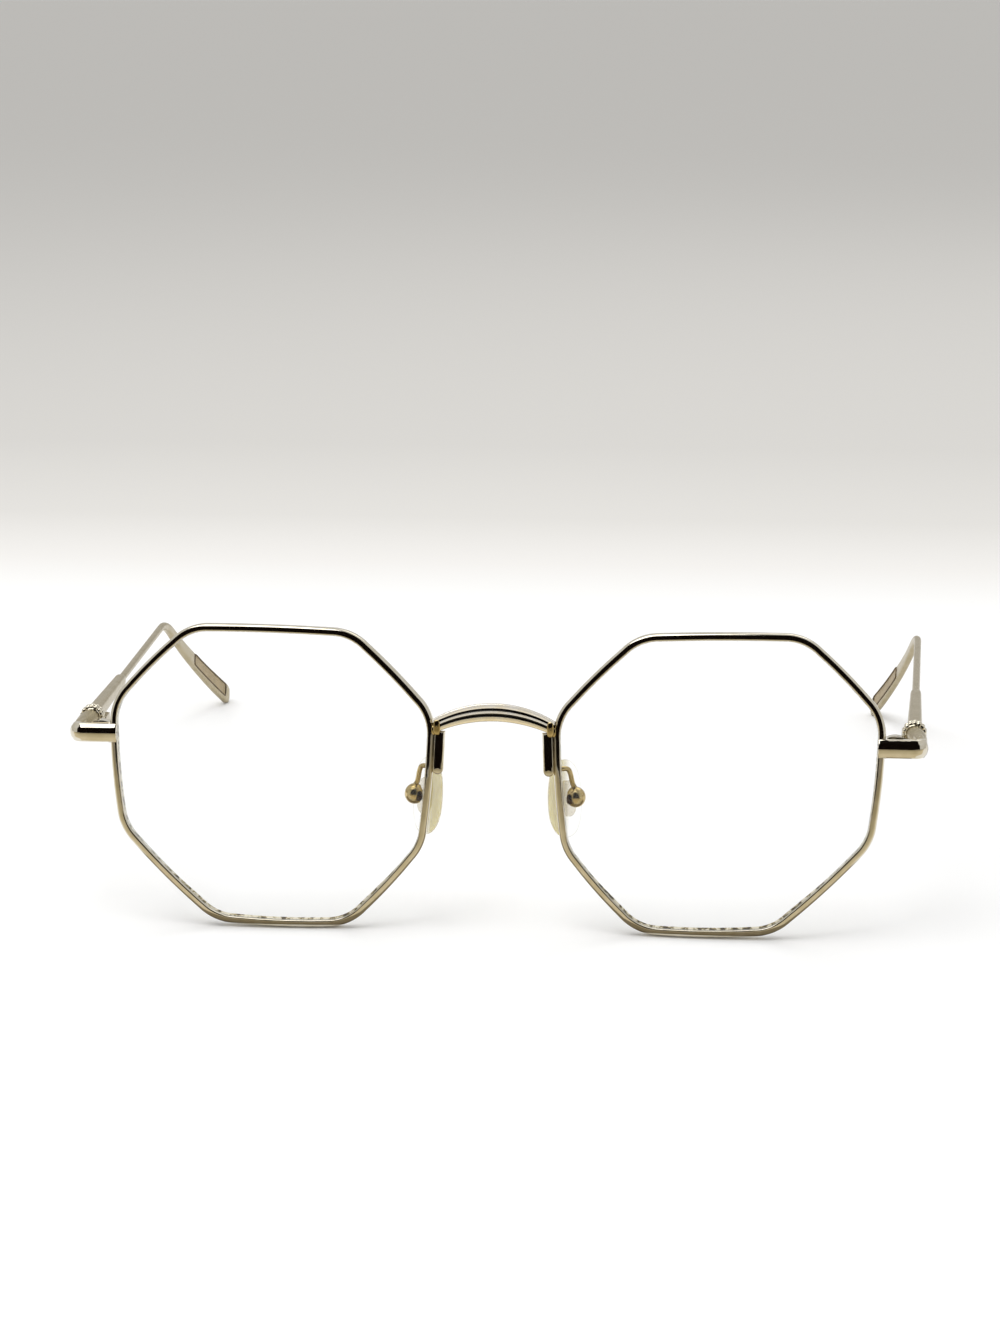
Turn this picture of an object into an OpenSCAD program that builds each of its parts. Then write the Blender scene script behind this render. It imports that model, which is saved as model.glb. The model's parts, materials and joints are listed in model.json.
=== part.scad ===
// Octagonal wire-rim eyeglasses with adjustable nose pads and folding temples.
// Units are millimetres. X runs from the wearer's right to left, the front faces -Y,
// the temples run to +Y and the frame stands open on the table at Z = 0.

/* [Front] */
// Distance between the two lens centres
lens_spacing = 71; // [70.5:0.5:75]
// Outer width of one rim
rim_width = 53.6; // [50:0.2:53.6]
// Outer height of one rim
rim_height = 50; // [47:0.5:53]
// Outer radius of the rounded corners of the octagon
corner_r = 8.5; // [6:0.1:8.8]
// Outward bow of each side of the octagon
side_bow = 0.18; // [0:0.02:0.3]
// Radius of the sphere that the lenses and rims follow
base_curve_r = 120; // [110:5:160]
// Backward lean of the front over its lower edge, in degrees
lean_back = 7.2; // [5:0.2:9]

/* [Rims and lenses] */
// Width of the rim wire seen from the front
rim_w = 1.25; // [1.2:0.05:1.4]
// Depth of the rim wire from front to back
rim_d = 1.9; // [1.8:0.05:2.1]
// Depth of the V groove that holds the lens
groove_d = 0.55; // [0.5:0.01:0.6]
// Lens thickness
lens_t = 1.5; // [1.2:0.1:1.6]

/* [Bridge] */
// Height of the bridge ends above the lens centres
bridge_z = 9.7; // [9.3:0.1:10.1]
// Rise of the arch in its middle
bridge_rise = 1.95; // [1.4:0.05:2.6]
// Height of the reeded bridge bar
bridge_h = 2.15; // [1.8:0.05:2.4]
// Number of reeds along the bridge
reeds = 3; // [2:1:4]

/* [Nose pads] */
// Height of a silicone nose pad
pad_h = 12.6; // [11:0.2:13.2]
// Width of a silicone nose pad
pad_w = 7.6; // [6.6:0.1:7.8]
// Thickness of a silicone nose pad
pad_t = 2.6; // [2.2:0.1:2.8]
// Splay of the pads towards the face, in degrees
pad_splay = 34; // [28:1:38]
// Diameter of the pad arm wire
arm_d = 1; // [0.8:0.05:1.05]

/* [End pieces and hinges] */
// Height of the end piece centre above the lens centres
end_z = 7.5; // [6.8:0.05:7.8]
// Height of the end piece bar
end_h = 3; // [2.6:0.1:3.2]
// Diameter of the beaded collars at the hinge
collar_d = 4; // [3.6:0.1:4]
// Radius of the hinge knuckles
knuckle_r = 1; // [0.95:0.05:1.05]

/* [Temples] */
// Length of a temple from the hinge to the start of the drop
temple_len = 91; // [85:1:97]
// Length of the drop behind the ear
drop_len = 38.5; // [35:0.5:44]
// Angle of the drop below the shaft, in degrees
bend_angle = 32.5; // [29:0.5:36]
// Diameter of the slim temple wire
wire_d = 1.3; // [1.2:0.05:1.5]
// Length of the wide front part of a temple
taper_len = 33; // [27:1:40]
// Outward splay of the open temples, in degrees
splay = 4; // [3:0.1:5]
// Height of the paddle at the temple tip
paddle_h = 4.2; // [3.6:0.1:4.6]

/* [Hidden] */
$fn = 96;
// Running and soldering gaps
solder_gap = 0.03;
lens_gap = 0.12;
run_gap = 0.05;
seam_gap = 0.2;

// The octagon's corners as shares of the half width and half height, +x to the temple side
corner_x = [-0.485, 0.51, 0.993, 0.93, 0.353, -0.472, -0.924, -0.987];
corner_z = [0.999, 1.018, 0.502, -0.316, -0.921, -0.937, -0.397, 0.457];
arc_steps = 5;
side_steps = 4;
seam_side = 2;
half_spacing = lens_spacing / 2;

// Small vector helpers
function unit(v) = v / norm(v);
function mix(a, b, k) = a + (b - a) * k;
function clamp01(k) = min(1, max(0, k));
function smooth(k) = clamp01(k) * clamp01(k) * (3 - 2 * clamp01(k));

// Octagon outline: a list of [x, z] going round from the rim seam and back to it
function corner(i) = [corner_x[i % 8] * rim_width / 2, corner_z[i % 8] * rim_height / 2];
function to_last(i) = unit(corner(i + 7) - corner(i));
function to_next(i) = unit(corner(i + 1) - corner(i));
function half_open(i) = acos(to_last(i) * to_next(i)) / 2;
function cut_len(i) = corner_r / tan(half_open(i));
function arc_in(i) = corner(i) + to_last(i) * cut_len(i);
function arc_out(i) = corner(i) + to_next(i) * cut_len(i);
function arc_mid(i) = corner(i) + unit(to_last(i) + to_next(i)) * corner_r / sin(half_open(i));
function turn_by(v, a) = [v[0] * cos(a) - v[1] * sin(a), v[0] * sin(a) + v[1] * cos(a)];
function arc_point(i, k) = arc_mid(i) + turn_by(arc_in(i) - arc_mid(i), -k * (180 - 2 * half_open(i)));
function side_out(i) = [-to_next(i)[1], to_next(i)[0]];
function side_point(i, k) =
    mix(arc_out(i), arc_in(i + 1), k) + side_out(i) * 4 * side_bow * k * (1 - k);
function arc_run(i) = [for (k = [0 : arc_steps - 1]) arc_point(i, k / arc_steps)];
function side_run(i) = [for (k = [0 : side_steps - 1]) side_point(i, k / side_steps)];
// Share of the temple-side edge at which the height z is reached
function seam_share(z) =
    (arc_out(seam_side)[1] - z) / (arc_out(seam_side)[1] - arc_in(seam_side + 1)[1]);
seam_low = seam_share(end_z - seam_gap / 2);
seam_high = seam_share(end_z + seam_gap / 2);
open_loop = concat(
    [for (k = [0 : side_steps - 1]) side_point(seam_side, mix(seam_low, 1, k / side_steps))],
    [for (i = [3 : 9]) each concat(arc_run(i), side_run(i))],
    arc_run(10),
    [for (k = [0 : side_steps]) side_point(seam_side, mix(0, seam_high, k / side_steps))]);
closed_loop = [for (i = [0 : 7]) each concat(arc_run(i), side_run(i))];

// Outward normals of a loop; an open one uses its own end points
function loop_dir(p, i, closed) =
    let (n = len(p))
    closed ? p[(i + 1) % n] - p[(i + n - 1) % n] : p[min(i + 1, n - 1)] - p[max(i - 1, 0)];
function loop_out(p, i, closed) = let (t = unit(loop_dir(p, i, closed))) [-t[1], t[0]];
// Set-back of the sphere behind its front point at the in-plane point q
function dish(q) = base_curve_r - sqrt(base_curve_r * base_curve_r - q * q);

// Rim wire section as [outward, backward], from the groove's bottom round the wire
rim_round = 0.3;
groove_open = 0.5;
groove_mid = rim_d / 2;
rim_section = [
    [groove_d - rim_w, groove_mid],
    [-rim_w, groove_mid - groove_open],
    [-rim_w, rim_round * 0.6],
    [-rim_w + rim_round * 0.6, 0],
    [-rim_round, 0],
    [-rim_round * 0.3, rim_round * 0.3],
    [0, rim_round],
    [0, rim_d - rim_round],
    [-rim_round * 0.3, rim_d - rim_round * 0.3],
    [-rim_round, rim_d],
    [-rim_w + rim_round * 0.6, rim_d],
    [-rim_w, rim_d - rim_round * 0.6],
    [-rim_w, groove_mid + groove_open]];
function rim_ring(p, i) =
    let (q = p[i], o = loop_out(p, i, false), back = dish(q - o * rim_w))
    [for (s = rim_section) [q[0] + o[0] * s[0], back + s[1], q[1] + o[1] * s[0]]];

// A skin over rings of points; its flat ends are fans from each ring's first point
module skin(rings) {
    m = len(rings[0]);
    n = len(rings);
    last = (n - 1) * m;
    sides = [for (i = [0 : m : last - m], j = [0 : m - 1])
        let (k = (j + 1) % m)
        each [[i + j, i + k, i + m + k], [i + j, i + m + k, i + m + j]]];
    polyhedron(
        points = [for (r = rings) each r],
        faces = concat(
            [for (j = [1 : m - 2]) [0, j + 1, j]],
            sides,
            [for (j = [1 : m - 2]) [last, last + j, last + j + 1]]));
}

// The front leans back over its lower edge
function lean(p) =
    [p[0],
     p[1] * cos(lean_back) + p[2] * sin(lean_back),
     p[2] * cos(lean_back) - p[1] * sin(lean_back)];
rim_points = [for (i = [0 : len(open_loop) - 1]) for (p = rim_ring(open_loop, i)) lean(p)];
rim_lowest = min([for (p = rim_points) p[2]]);
rim_foremost = min([for (p = rim_points) p[1]]);

// End piece: a bar out of the rim, an elbow and an arm back to the hinge
rim_side = half_spacing + side_point(seam_side, seam_share(end_z))[0];
bar_front = dish([rim_side - half_spacing - rim_w, end_z]) - 0.8;
bar_t = 1.9;
elbow_in = 0.5;
elbow_x = rim_side + 4.25;
elbow_y = bar_front + bar_t + elbow_in;
arm_x = elbow_x + elbow_in + bar_t / 2;
arm_dir = [-0.65, 8.8, 0];
hinge_from_lens = lean([arm_x, elbow_y, end_z]) + arm_dir;

// Temple line in its own frame: y along the shaft, z up, bend and drop at the end
bend_r = 16;
bend_start = temple_len - bend_r * tan(bend_angle / 2);
bend_len = bend_r * bend_angle * PI / 180;
straight_drop = drop_len - bend_r * tan(bend_angle / 2);
drop_from = bend_start + bend_len;
temple_s = drop_from + straight_drop;
wire_r = wire_d / 2;
flat_w = 0.66;
inward = 8.6;
function temple_x(s) = -inward * pow(clamp01((s - bend_start) / (temple_s - bend_start)), 1.5);
function temple_yz(s) =
    s <= bend_start ? [s, 0]
    : s <= drop_from
        ? let (a = (s - bend_start) / bend_r * 180 / PI)
          [bend_start + bend_r * sin(a), -bend_r * (1 - cos(a))]
        : let (d = s - drop_from)
          [bend_start + bend_r * sin(bend_angle) + d * cos(bend_angle),
           -bend_r * (1 - cos(bend_angle)) - d * sin(bend_angle)];
function temple_pitch(s) = bend_angle * clamp01((s - bend_start) / bend_len);
function tip_w(s) =
    lookup(s, [[bend_start, wire_r], [drop_from, flat_w], [temple_s - 1.2, flat_w],
               [temple_s - 0.4, 0.56], [temple_s, 0.36]]);
function tip_h(s) =
    lookup(s, [[bend_start, wire_r], [drop_from, 1.05], [temple_s - 8, paddle_h * 0.48],
               [temple_s - 1.4, paddle_h / 2], [temple_s - 0.6, paddle_h / 2 - 0.25],
               [temple_s - 0.2, paddle_h / 2 - 0.6], [temple_s, paddle_h / 2 - 1.1]]);
// The slope lets the temple down until the lower corner of the paddle stands on the table
function tip_edge(s, up) = temple_yz(s) + up * tip_h(s) * [sin(bend_angle), cos(bend_angle)];
tip_low = tip_edge(temple_s - 0.6, -1);
slope = asin((hinge_from_lens[2] - rim_lowest) / norm(tip_low)) - atan2(-tip_low[1], tip_low[0]);
tip_high = tip_edge(temple_s - 0.2, 1);
tip_back = (tip_high[0] * cos(slope) + tip_high[1] * sin(slope)) * cos(splay) + inward * sin(splay);

// Frames: the front, one lens in it, and a temple; the middle of the whole frame is at Y = 0
front_at = [0, -(rim_foremost + hinge_from_lens[1] + tip_back) / 2, -rim_lowest];
hinge_at = hinge_from_lens + front_at;
arm_start = hinge_at - arm_dir;
module in_front() {
    translate(front_at) rotate([-lean_back, 0, 0]) children();
}
module in_lens() {
    in_front() translate([half_spacing, 0, 0]) children();
}
module in_temple() {
    translate(hinge_at) rotate([-slope, 0, -splay]) children();
}
// The hinge pin stands beside the temple, towards the nose
pin_x = -(collar_d / 2 + knuckle_r + 0.15);

// Left-hand pieces are the mirror image of the right-hand ones
module left() {
    mirror([1, 0, 0]) children();
}

module rim() {
    color("#c9b98f")
    in_lens() skin([for (i = [0 : len(open_loop) - 1]) rim_ring(open_loop, i)]);
}

// Lens: a meniscus inside the rim with a thin tongue in the groove
tongue_t = 0.18;
tongue_in = rim_w - 0.25;
function inset(p, d) = [for (i = [0 : len(p) - 1]) p[i] - loop_out(p, i, true) * d];
module shell(front_back, thickness, margin) {
    intersection() {
        translate([0, base_curve_r, 0]) difference() {
            sphere(r = base_curve_r - front_back);
            sphere(r = base_curve_r - front_back - thickness);
        }
        rotate([90, 0, 0]) translate([0, 0, -12]) linear_extrude(height = 14)
            polygon(inset(closed_loop, margin));
    }
}
module lens() {
    color("#eef3f4")
    in_lens() union() {
        shell(groove_mid - lens_t / 2, lens_t, rim_w + lens_gap);
        shell(groove_mid - tongue_t / 2, tongue_t, tongue_in);
    }
}

// Nose side of the rim at the height z, down its straight side and round the corner above
function nose_side(z) =
    let (a = arc_out(6), b = arc_in(7), k = (z - a[1]) / (b[1] - a[1]))
    z > b[1] ? arc_mid(7)[0] - sqrt(corner_r * corner_r - pow(z - arc_mid(7)[1], 2))
    : a[0] + (b[0] - a[0]) * k - 4 * side_bow * k * (1 - k);

// Bridge: a reeded bar bent to an arch, its ends cut to the outlines of the rims
bridge_y = dish([nose_side(bridge_z) + rim_w, bridge_z]) - 0.35;
bridge_d = 1.7;
bridge_half = half_spacing + nose_side(bridge_z);
arch_r = (bridge_half * bridge_half + bridge_rise * bridge_rise) / (2 * bridge_rise);
arch_half = asin((bridge_half + bridge_h * 0.7) / arch_r);
reed_r = bridge_h / reeds / 2;
module bridge_section() {
    for (i = [0 : reeds - 1])
        translate([arch_r - bridge_h / 2 + reed_r * (2 * i + 1), reed_r]) circle(r = reed_r);
    translate([arch_r - bridge_h / 2 + 0.12, reed_r]) square([bridge_h - 0.24, bridge_d - reed_r]);
}
module rim_outline_cut() {
    translate([half_spacing, 0, 0]) rotate([90, 0, 0]) translate([0, 0, -12])
        linear_extrude(height = 24) polygon(inset(closed_loop, -2 * solder_gap));
}
module bridge() {
    color("#c9b98f")
    in_front() difference() {
        translate([0, bridge_y, bridge_z + bridge_rise - arch_r])
            rotate([-90, 0, 0]) mirror([0, 1, 0])
            rotate([0, 0, 90 - arch_half]) rotate_extrude(angle = 2 * arch_half) bridge_section();
        rim_outline_cut();
        left() rim_outline_cut();
    }
}

// Pad arm: a leg soldered along the nose side of the rim and a wire loop to the pad box
leg_top = bridge_z - bridge_h / 2 - 0.15;
leg_bottom = 2.8;
leg_w = 1.4;
leg_t = 1.5;
function leg_x(z) = half_spacing + nose_side(z) - solder_gap - leg_w / 2;
function leg_y(z) = dish([nose_side(z) + rim_w, z]) - 0.1;
module leg() {
    top = [leg_x(leg_top), leg_y(leg_top), leg_top];
    low = [leg_x(leg_bottom), leg_y(leg_bottom), leg_bottom];
    run = top - low;
    translate(low)
        rotate([asin(-run[1] / norm(run)), atan2(run[0], run[2]), 0])
        union() {
            translate([-leg_w / 2, 0, 0]) cube([leg_w, leg_t, norm(run)]);
            translate([0, leg_t, 0]) rotate([90, 0, 0]) cylinder(r = leg_w / 2, h = leg_t);
        }
}
box_at = [half_spacing - 22.55, leg_y(0) + 4.5, -1.95];
box_r = 1.4;
wire_seat = 1.15;
wire_foot_z = 3.2;
loop_start = [leg_x(wire_foot_z), leg_y(wire_foot_z) + leg_t + 0.06, wire_foot_z];
loop_behind = leg_y(wire_foot_z) + 0.1 + rim_d + arm_d / 2 + 0.2;
wire_knots = [
    [leg_x(wire_foot_z) + 0.25, 2 * loop_start[1] - loop_behind, wire_foot_z - 0.6],
    loop_start,
    [leg_x(wire_foot_z) + 0.25, loop_behind, wire_foot_z - 0.6],
    [mix(leg_x(wire_foot_z), box_at[0], 0.42), loop_behind + 0.1, wire_foot_z - 0.8],
    [mix(leg_x(wire_foot_z), box_at[0], 0.78), mix(loop_behind, box_at[1], 0.55), wire_foot_z - 1.6],
    [box_at[0] - 0.03, box_at[1] - 0.12, box_at[2] + 2.2],
    box_at + [0, 0, wire_seat],
    box_at];
function spline(a, b, c, d, k) =
    (2 * b + (c - a) * k + (2 * a - 5 * b + 4 * c - d) * k * k + (3 * b - a - 3 * c + d) * k * k * k) / 2;
function wire_point(u) =
    let (i = min(len(wire_knots) - 3, 1 + floor(u)), k = u + 1 - i)
    spline(wire_knots[i - 1], wire_knots[i], wire_knots[i + 1], wire_knots[i + 2], k);
wire_steps = 22;
wire_span = len(wire_knots) - 3;
function wire_dir(u) = unit(wire_point(min(u + 0.02, wire_span)) - wire_point(max(u - 0.02, 0)));
function wire_ring(u) =
    let (t = wire_dir(u), a = unit(cross(t, [0, 1, 1])), b = cross(t, a))
    [for (j = [0 : 11]) wire_point(u) + arm_d / 2 * (cos(j * 30) * a - sin(j * 30) * b)];
module pad_leg() {
    color("#c9b98f")
    in_front() leg();
}
module pad_wire() {
    color("#c9b98f")
    in_front() skin([for (i = [0 : wire_steps]) wire_ring(i * wire_span / wire_steps)]);
}

// Pad box: a ball with a slot for the pad's tongue and a pin across it
module in_pad() {
    in_front() translate(box_at) rotate([0, 0, 90 - pad_splay]) rotate([-pad_lean, 0, 0]) children();
}
pad_lean = 6;
slot_h = 1.1;
slot_back = 0.95;
tongue_h = 0.8;
tongue_r = 0.75;
pad_pin_r = 0.35;
pin_head_r = 0.6;
pin_top = 0.95;
pin_head_z = -1.15;
module pad_box() {
    color("#c9b98f")
    difference() {
        in_pad() difference() {
            sphere(r = box_r);
            translate([-2, -slot_back, -slot_h / 2]) cube([4, 4, slot_h]);
            translate([0, 0, pin_head_z]) cylinder(r = pad_pin_r + solder_gap, h = 2.2);
            translate([0, 0, -2]) cylinder(r = pin_head_r + solder_gap, h = 2 + pin_head_z);
        }
        in_front() translate(box_at + [0, 0, wire_seat - 0.05]) cylinder(r = arm_d / 2 + 0.06, h = 1);
    }
}
module pad_pin() {
    color("#b9a878")
    in_pad() union() {
        translate([0, 0, pin_head_z - 0.02]) cylinder(r = pad_pin_r, h = pin_top - pin_head_z);
        difference() {
            translate([0, 0, pin_head_z - 0.37]) cylinder(r = pin_head_r, h = 0.35);
            translate([-1, -0.09, pin_head_z - 0.5]) cube([2, 0.18, 0.28]);
        }
    }
}

// Nose pad: a soft domed pad with a core plate let into its back
pad_back = 2.15;
pad_at = [1, pad_back, -0.4];
plate_h = pad_h * 0.47;
plate_w = pad_w * 0.44;
plate_t = 0.9;
boss_top = pad_back - 0.05;
pocket_t = 0.85;
boss_r = 0.95;
module stadium(w, h, t) {
    linear_extrude(height = t) union() {
        square([w, h - w], center = true);
        translate([0, (h - w) / 2]) circle(d = w);
        translate([0, -(h - w) / 2]) circle(d = w);
    }
}
module upright() {
    rotate([90, 0, 0]) children();
}
// One ring of the pad's D outline at the depth d from its back, k times its full size
function pad_ring(d, k) =
    [for (a = [0 : 15 : 345])
        let (c = cos(a), s = sin(a), r = pow(pow(abs(c), 2.3) + pow(abs(s), 2.3), -1 / 2.3))
        [k * pad_w / 2 * r * c * (1 - 0.14 * s * (c < 0 ? 1 : -0.6)), d, k * pad_h / 2 * r * s]];
module pad_dome() {
    skin([
        pad_ring(0, 0.9),
        pad_ring(pad_t * 0.14, 0.985),
        pad_ring(pad_t * 0.32, 1),
        pad_ring(pad_t * 0.55, 0.95),
        pad_ring(pad_t * 0.78, 0.8),
        pad_ring(pad_t * 0.93, 0.56),
        pad_ring(pad_t, 0.24)]);
}
module nose_pad() {
    color("#f1efe2")
    in_pad() translate(pad_at) difference() {
        pad_dome();
        translate([0, pocket_t, 0]) upright() stadium(plate_w, plate_h, pocket_t + 1);
    }
}
module pad_core() {
    color("#d8c69a")
    in_pad() difference() {
        union() {
            translate(pad_at + [0, pocket_t - 0.05, 0]) upright()
                stadium(plate_w - 0.1, plate_h - 0.1, plate_t);
            translate([0, boss_top, -0.2]) upright() cylinder(r = boss_r, h = 0.4);
            translate([-0.55, 0, -tongue_h / 2]) cube([1.1, boss_top, tongue_h]);
            translate([0, 0, -tongue_h / 2]) cylinder(r = tongue_r, h = tongue_h);
        }
        translate([0, 0, -1]) cylinder(r = pad_pin_r + run_gap, h = 2);
    }
}

// End piece with its lip over the rim, elbow, arm and front collar
module bar_section(h) {
    intersection() {
        translate([elbow_in, -h / 2]) square([bar_t, h]);
        translate([elbow_in + bar_t - 2, 0]) circle(r = 2);
    }
}
lip_t = 0.66;
lip_len = rim_w - 0.05;
bead_count = 16;
module collar(front) {
    rotate([-90, 0, 0]) translate([0, 0, front]) difference() {
        union() {
            cylinder(r = collar_d / 2 - 0.5, h = 1);
            rotate_extrude() translate([collar_d / 2 - 0.5, 0.5]) circle(r = 0.5);
        }
        for (i = [0 : bead_count - 1])
            rotate([0, 0, 360 / bead_count * (i + 0.5)])
                translate([collar_d / 2 + 0.14, 0, -0.5]) cylinder(r = 0.3, h = 2);
    }
}
arm_r = 1.35;
arm_end_r = 1.45;
module arm() {
    translate(arm_start)
        rotate([-atan2(norm([arm_dir[0], arm_dir[1]]), arm_dir[2]), 0, -atan2(arm_dir[0], arm_dir[1])])
        rotate_extrude() union() {
            intersection() {
                circle(r = arm_r);
                translate([0, -arm_r]) square([arm_r, arm_r]);
            }
            polygon([[0, 0], [arm_r, 0], [arm_end_r, norm(arm_dir)], [0, norm(arm_dir)]]);
        }
}
module end_piece() {
    color("#c9b98f")
    union() {
        in_front() translate([elbow_x, elbow_y, end_z]) union() {
            rotate([90, 0, -90]) linear_extrude(height = elbow_x - block_in) bar_section(end_h);
            rotate([0, 0, -90]) rotate_extrude(angle = 90) bar_section(end_h);
            translate([block_in - elbow_x, 0, 0]) rotate([90, 0, -90])
                linear_extrude(height = block_in - rim_side + lip_len) intersection() {
                    bar_section(end_h - 0.1);
                    translate([elbow_in + bar_t - lip_t, -end_h]) square([1, 2 * end_h]);
                }
        }
        difference() {
            arm();
            in_temple() translate([-4, -1.18, -4]) cube(8);
        }
    }
}
module front_collar() {
    color("#c9b98f")
    in_temple() collar(-1.15);
}

// Closing block: two halves at the rim's seam, drawn together by a screw from below
block_y = bar_front + bar_t + solder_gap;
block_in = rim_side + 0.14;
block_l = 2.9;
block_d = 2.1;
block_top = 1.75;
block_low = 1.1;
dome_r = 3;
lock_x = block_in + block_l / 2;
lock_y = block_y + block_d / 2;
lock_r = 0.5;
module block(z, h) {
    translate([block_in, block_y, end_z + z]) cube([block_l, block_d, h]);
}
module block_upper() {
    color("#c9b98f")
    in_front() difference() {
        intersection() {
            block(seam_gap / 2, block_top + 0.3);
            translate([lock_x, block_y - 1, end_z + seam_gap / 2 + block_top - dome_r])
                rotate([-90, 0, 0]) cylinder(r = dome_r, h = block_d + 2);
        }
        translate([lock_x, lock_y, end_z - 1]) cylinder(r = lock_r + solder_gap, h = 2.1);
    }
}
module block_lower() {
    color("#c9b98f")
    in_front() difference() {
        block(-seam_gap / 2 - block_low, block_low);
        translate([lock_x, lock_y, end_z - 3]) cylinder(r = lock_r + run_gap, h = 6);
    }
}
module lock_screw() {
    color("#b9a878")
    in_front() translate([lock_x, lock_y, end_z]) difference() {
        union() {
            translate([0, 0, -seam_gap / 2 - block_low - 0.1]) cylinder(r = lock_r, h = block_low + 1.2);
            translate([0, 0, -seam_gap / 2 - block_low - 0.37]) cylinder(r = 1, h = 0.35);
        }
        translate([-1.5, -0.12, -seam_gap / 2 - block_low - 1.2]) cube([3, 0.24, 1]);
    }
}

// Hinge: two front knuckles, one temple knuckle between them and a screw from below; it sits
// low behind the end piece
knuckle_half = 0.42;
knuckle_gap = 0.07;
hinge_half = 1.2;
hinge_low = 2.2;
screw_r = 0.45;
module in_hinge() {
    in_temple() translate([0, 0, -hinge_low]) children();
}
module bored(r) {
    difference() {
        children();
        translate([pin_x, 0, -4]) cylinder(r = r, h = 8);
    }
}
module hinge_plate(side, z, h, points) {
    translate([0, 0, z]) linear_extrude(height = h) polygon([for (p = points) [p[0], side * p[1]]]);
}
knuckle_in = pin_x + knuckle_r * 0.9;
knuckle_out = pin_x - knuckle_r * 0.85;
leaf_x = -1.26;
module hinge_front() {
    color("#c9b98f")
    in_hinge() bored(screw_r + run_gap) union() {
        for (z = [-hinge_half, knuckle_half + knuckle_gap]) {
            translate([pin_x, 0, z])
                cylinder(r = knuckle_r, h = hinge_half - knuckle_half - knuckle_gap);
            hinge_plate(-1, z, hinge_half - knuckle_half - knuckle_gap,
                [[knuckle_out, 0.2], [knuckle_in, 0.2], [knuckle_in, 1.4], [knuckle_out + 0.5, 1.5]]);
        }
        hinge_plate(-1, -hinge_half, 2 * hinge_half,
            [[knuckle_out + 0.4, 1.35], [-1.05, 1.35], [-0.85, 4.2], [-1.7, 4.2], [-2.8, 2.9]]);
    }
}
module hinge_temple() {
    color("#c9b98f")
    in_hinge() bored(screw_r + run_gap) union() {
        translate([pin_x, 0, -knuckle_half]) cylinder(r = knuckle_r, h = 2 * knuckle_half);
        hinge_plate(1, -knuckle_half, 2 * knuckle_half,
            [[knuckle_out, 0.2], [knuckle_in, 0.2], [knuckle_in, 1.35], [leaf_x, 1.5],
             [leaf_x, 3.6], [-2.2, 3.2], [knuckle_out + 0.4, 1.3]]);
        hinge_plate(1, -knuckle_half, knuckle_half + hinge_low - 0.5,
            [[leaf_x - 0.75, 1.6], [leaf_x, 1.6], [leaf_x, 6.2], [leaf_x - 0.75, 5.6]]);
    }
}
module hinge_screw() {
    color("#b9a878")
    in_hinge() translate([pin_x, 0, 0]) difference() {
        union() {
            translate([0, 0, -hinge_half - 0.1]) cylinder(r = screw_r, h = 2 * hinge_half);
            translate([0, 0, -hinge_half - 0.32]) cylinder(r = 0.8, h = 0.3);
        }
        translate([-1, -0.1, -hinge_half - 1.2]) cube([2, 0.2, 1]);
    }
}

// Temple: a collar, a wide front part, a slim round wire and a flattened tip
front_from = 1.18;
collar_from = 0.15;
section_angles = [0, 25, 45, 65, 90, 115, 135, 156, 160, 200, 204, 225, 245, 270, 295, 315, 335];
function squared(v) = sign(v) * pow(abs(v), 0.45);
// One ring: s along the temple, half width w, half height h, squareness k, recess depth f
function temple_ring(s, w, h, k, f) =
    let (c = [temple_x(s), temple_yz(s)[0], temple_yz(s)[1]], p = temple_pitch(s))
    [for (a = section_angles)
        let (x = w * mix(cos(a), squared(cos(a)), k) + (a == 160 || a == 200 ? f : 0),
             z = h * mix(sin(a), squared(sin(a)), k))
        c + [x, z * sin(p), z * cos(p)]];
front_table = [
    [front_from, 0.95, 1],
    [front_from + 0.15, 1.1, 1.15],
    [front_from + 0.5, 1.2, 1.3],
    [taper_len - 1.4, 0.92, 1],
    [taper_len - 0.8, 0.88, 0.95],
    [taper_len - 0.4, 0.78, 0.85],
    [taper_len - 0.1, 0.68, 0.72],
    [taper_len, wire_r, wire_r]];
module temple_front() {
    color("#c9b98f")
    in_temple() skin([for (t = front_table) temple_ring(t[0], t[1], t[2], 0.35, 0)]);
}
module temple_collar() {
    color("#c9b98f")
    in_temple() collar(collar_from);
}
module temple_wire() {
    color("#c9b98f")
    in_temple() translate([0, taper_len + 0.02, 0]) rotate([-90, 0, 0])
        cylinder(r = wire_r, h = bend_start - taper_len - 0.04);
}
recess_from = temple_s - 20;
recess_to = temple_s - 2.6;
recess_f = 0.22;
function tip_square(s) = 0.7 * smooth((s - bend_start) / bend_len);
function tip_recess(s) = s > recess_from && s < recess_to ? recess_f : 0;
tip_stations = concat(
    [for (i = [0 : 8]) mix(bend_start, drop_from, i / 8)],
    [for (i = [1 : 6]) mix(drop_from, recess_from, i / 6)],
    [recess_from + 0.05],
    [for (i = [1 : 6]) mix(recess_from, recess_to, i / 6) - 0.05],
    [recess_to, temple_s - 1.4, temple_s - 1, temple_s - 0.6, temple_s - 0.35, temple_s - 0.15,
     temple_s]);
module temple_tip() {
    color("#c9b98f")
    in_temple() skin([for (s = tip_stations)
        temple_ring(s, tip_w(s), tip_h(s), tip_square(s), tip_recess(s))]);
}

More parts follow.
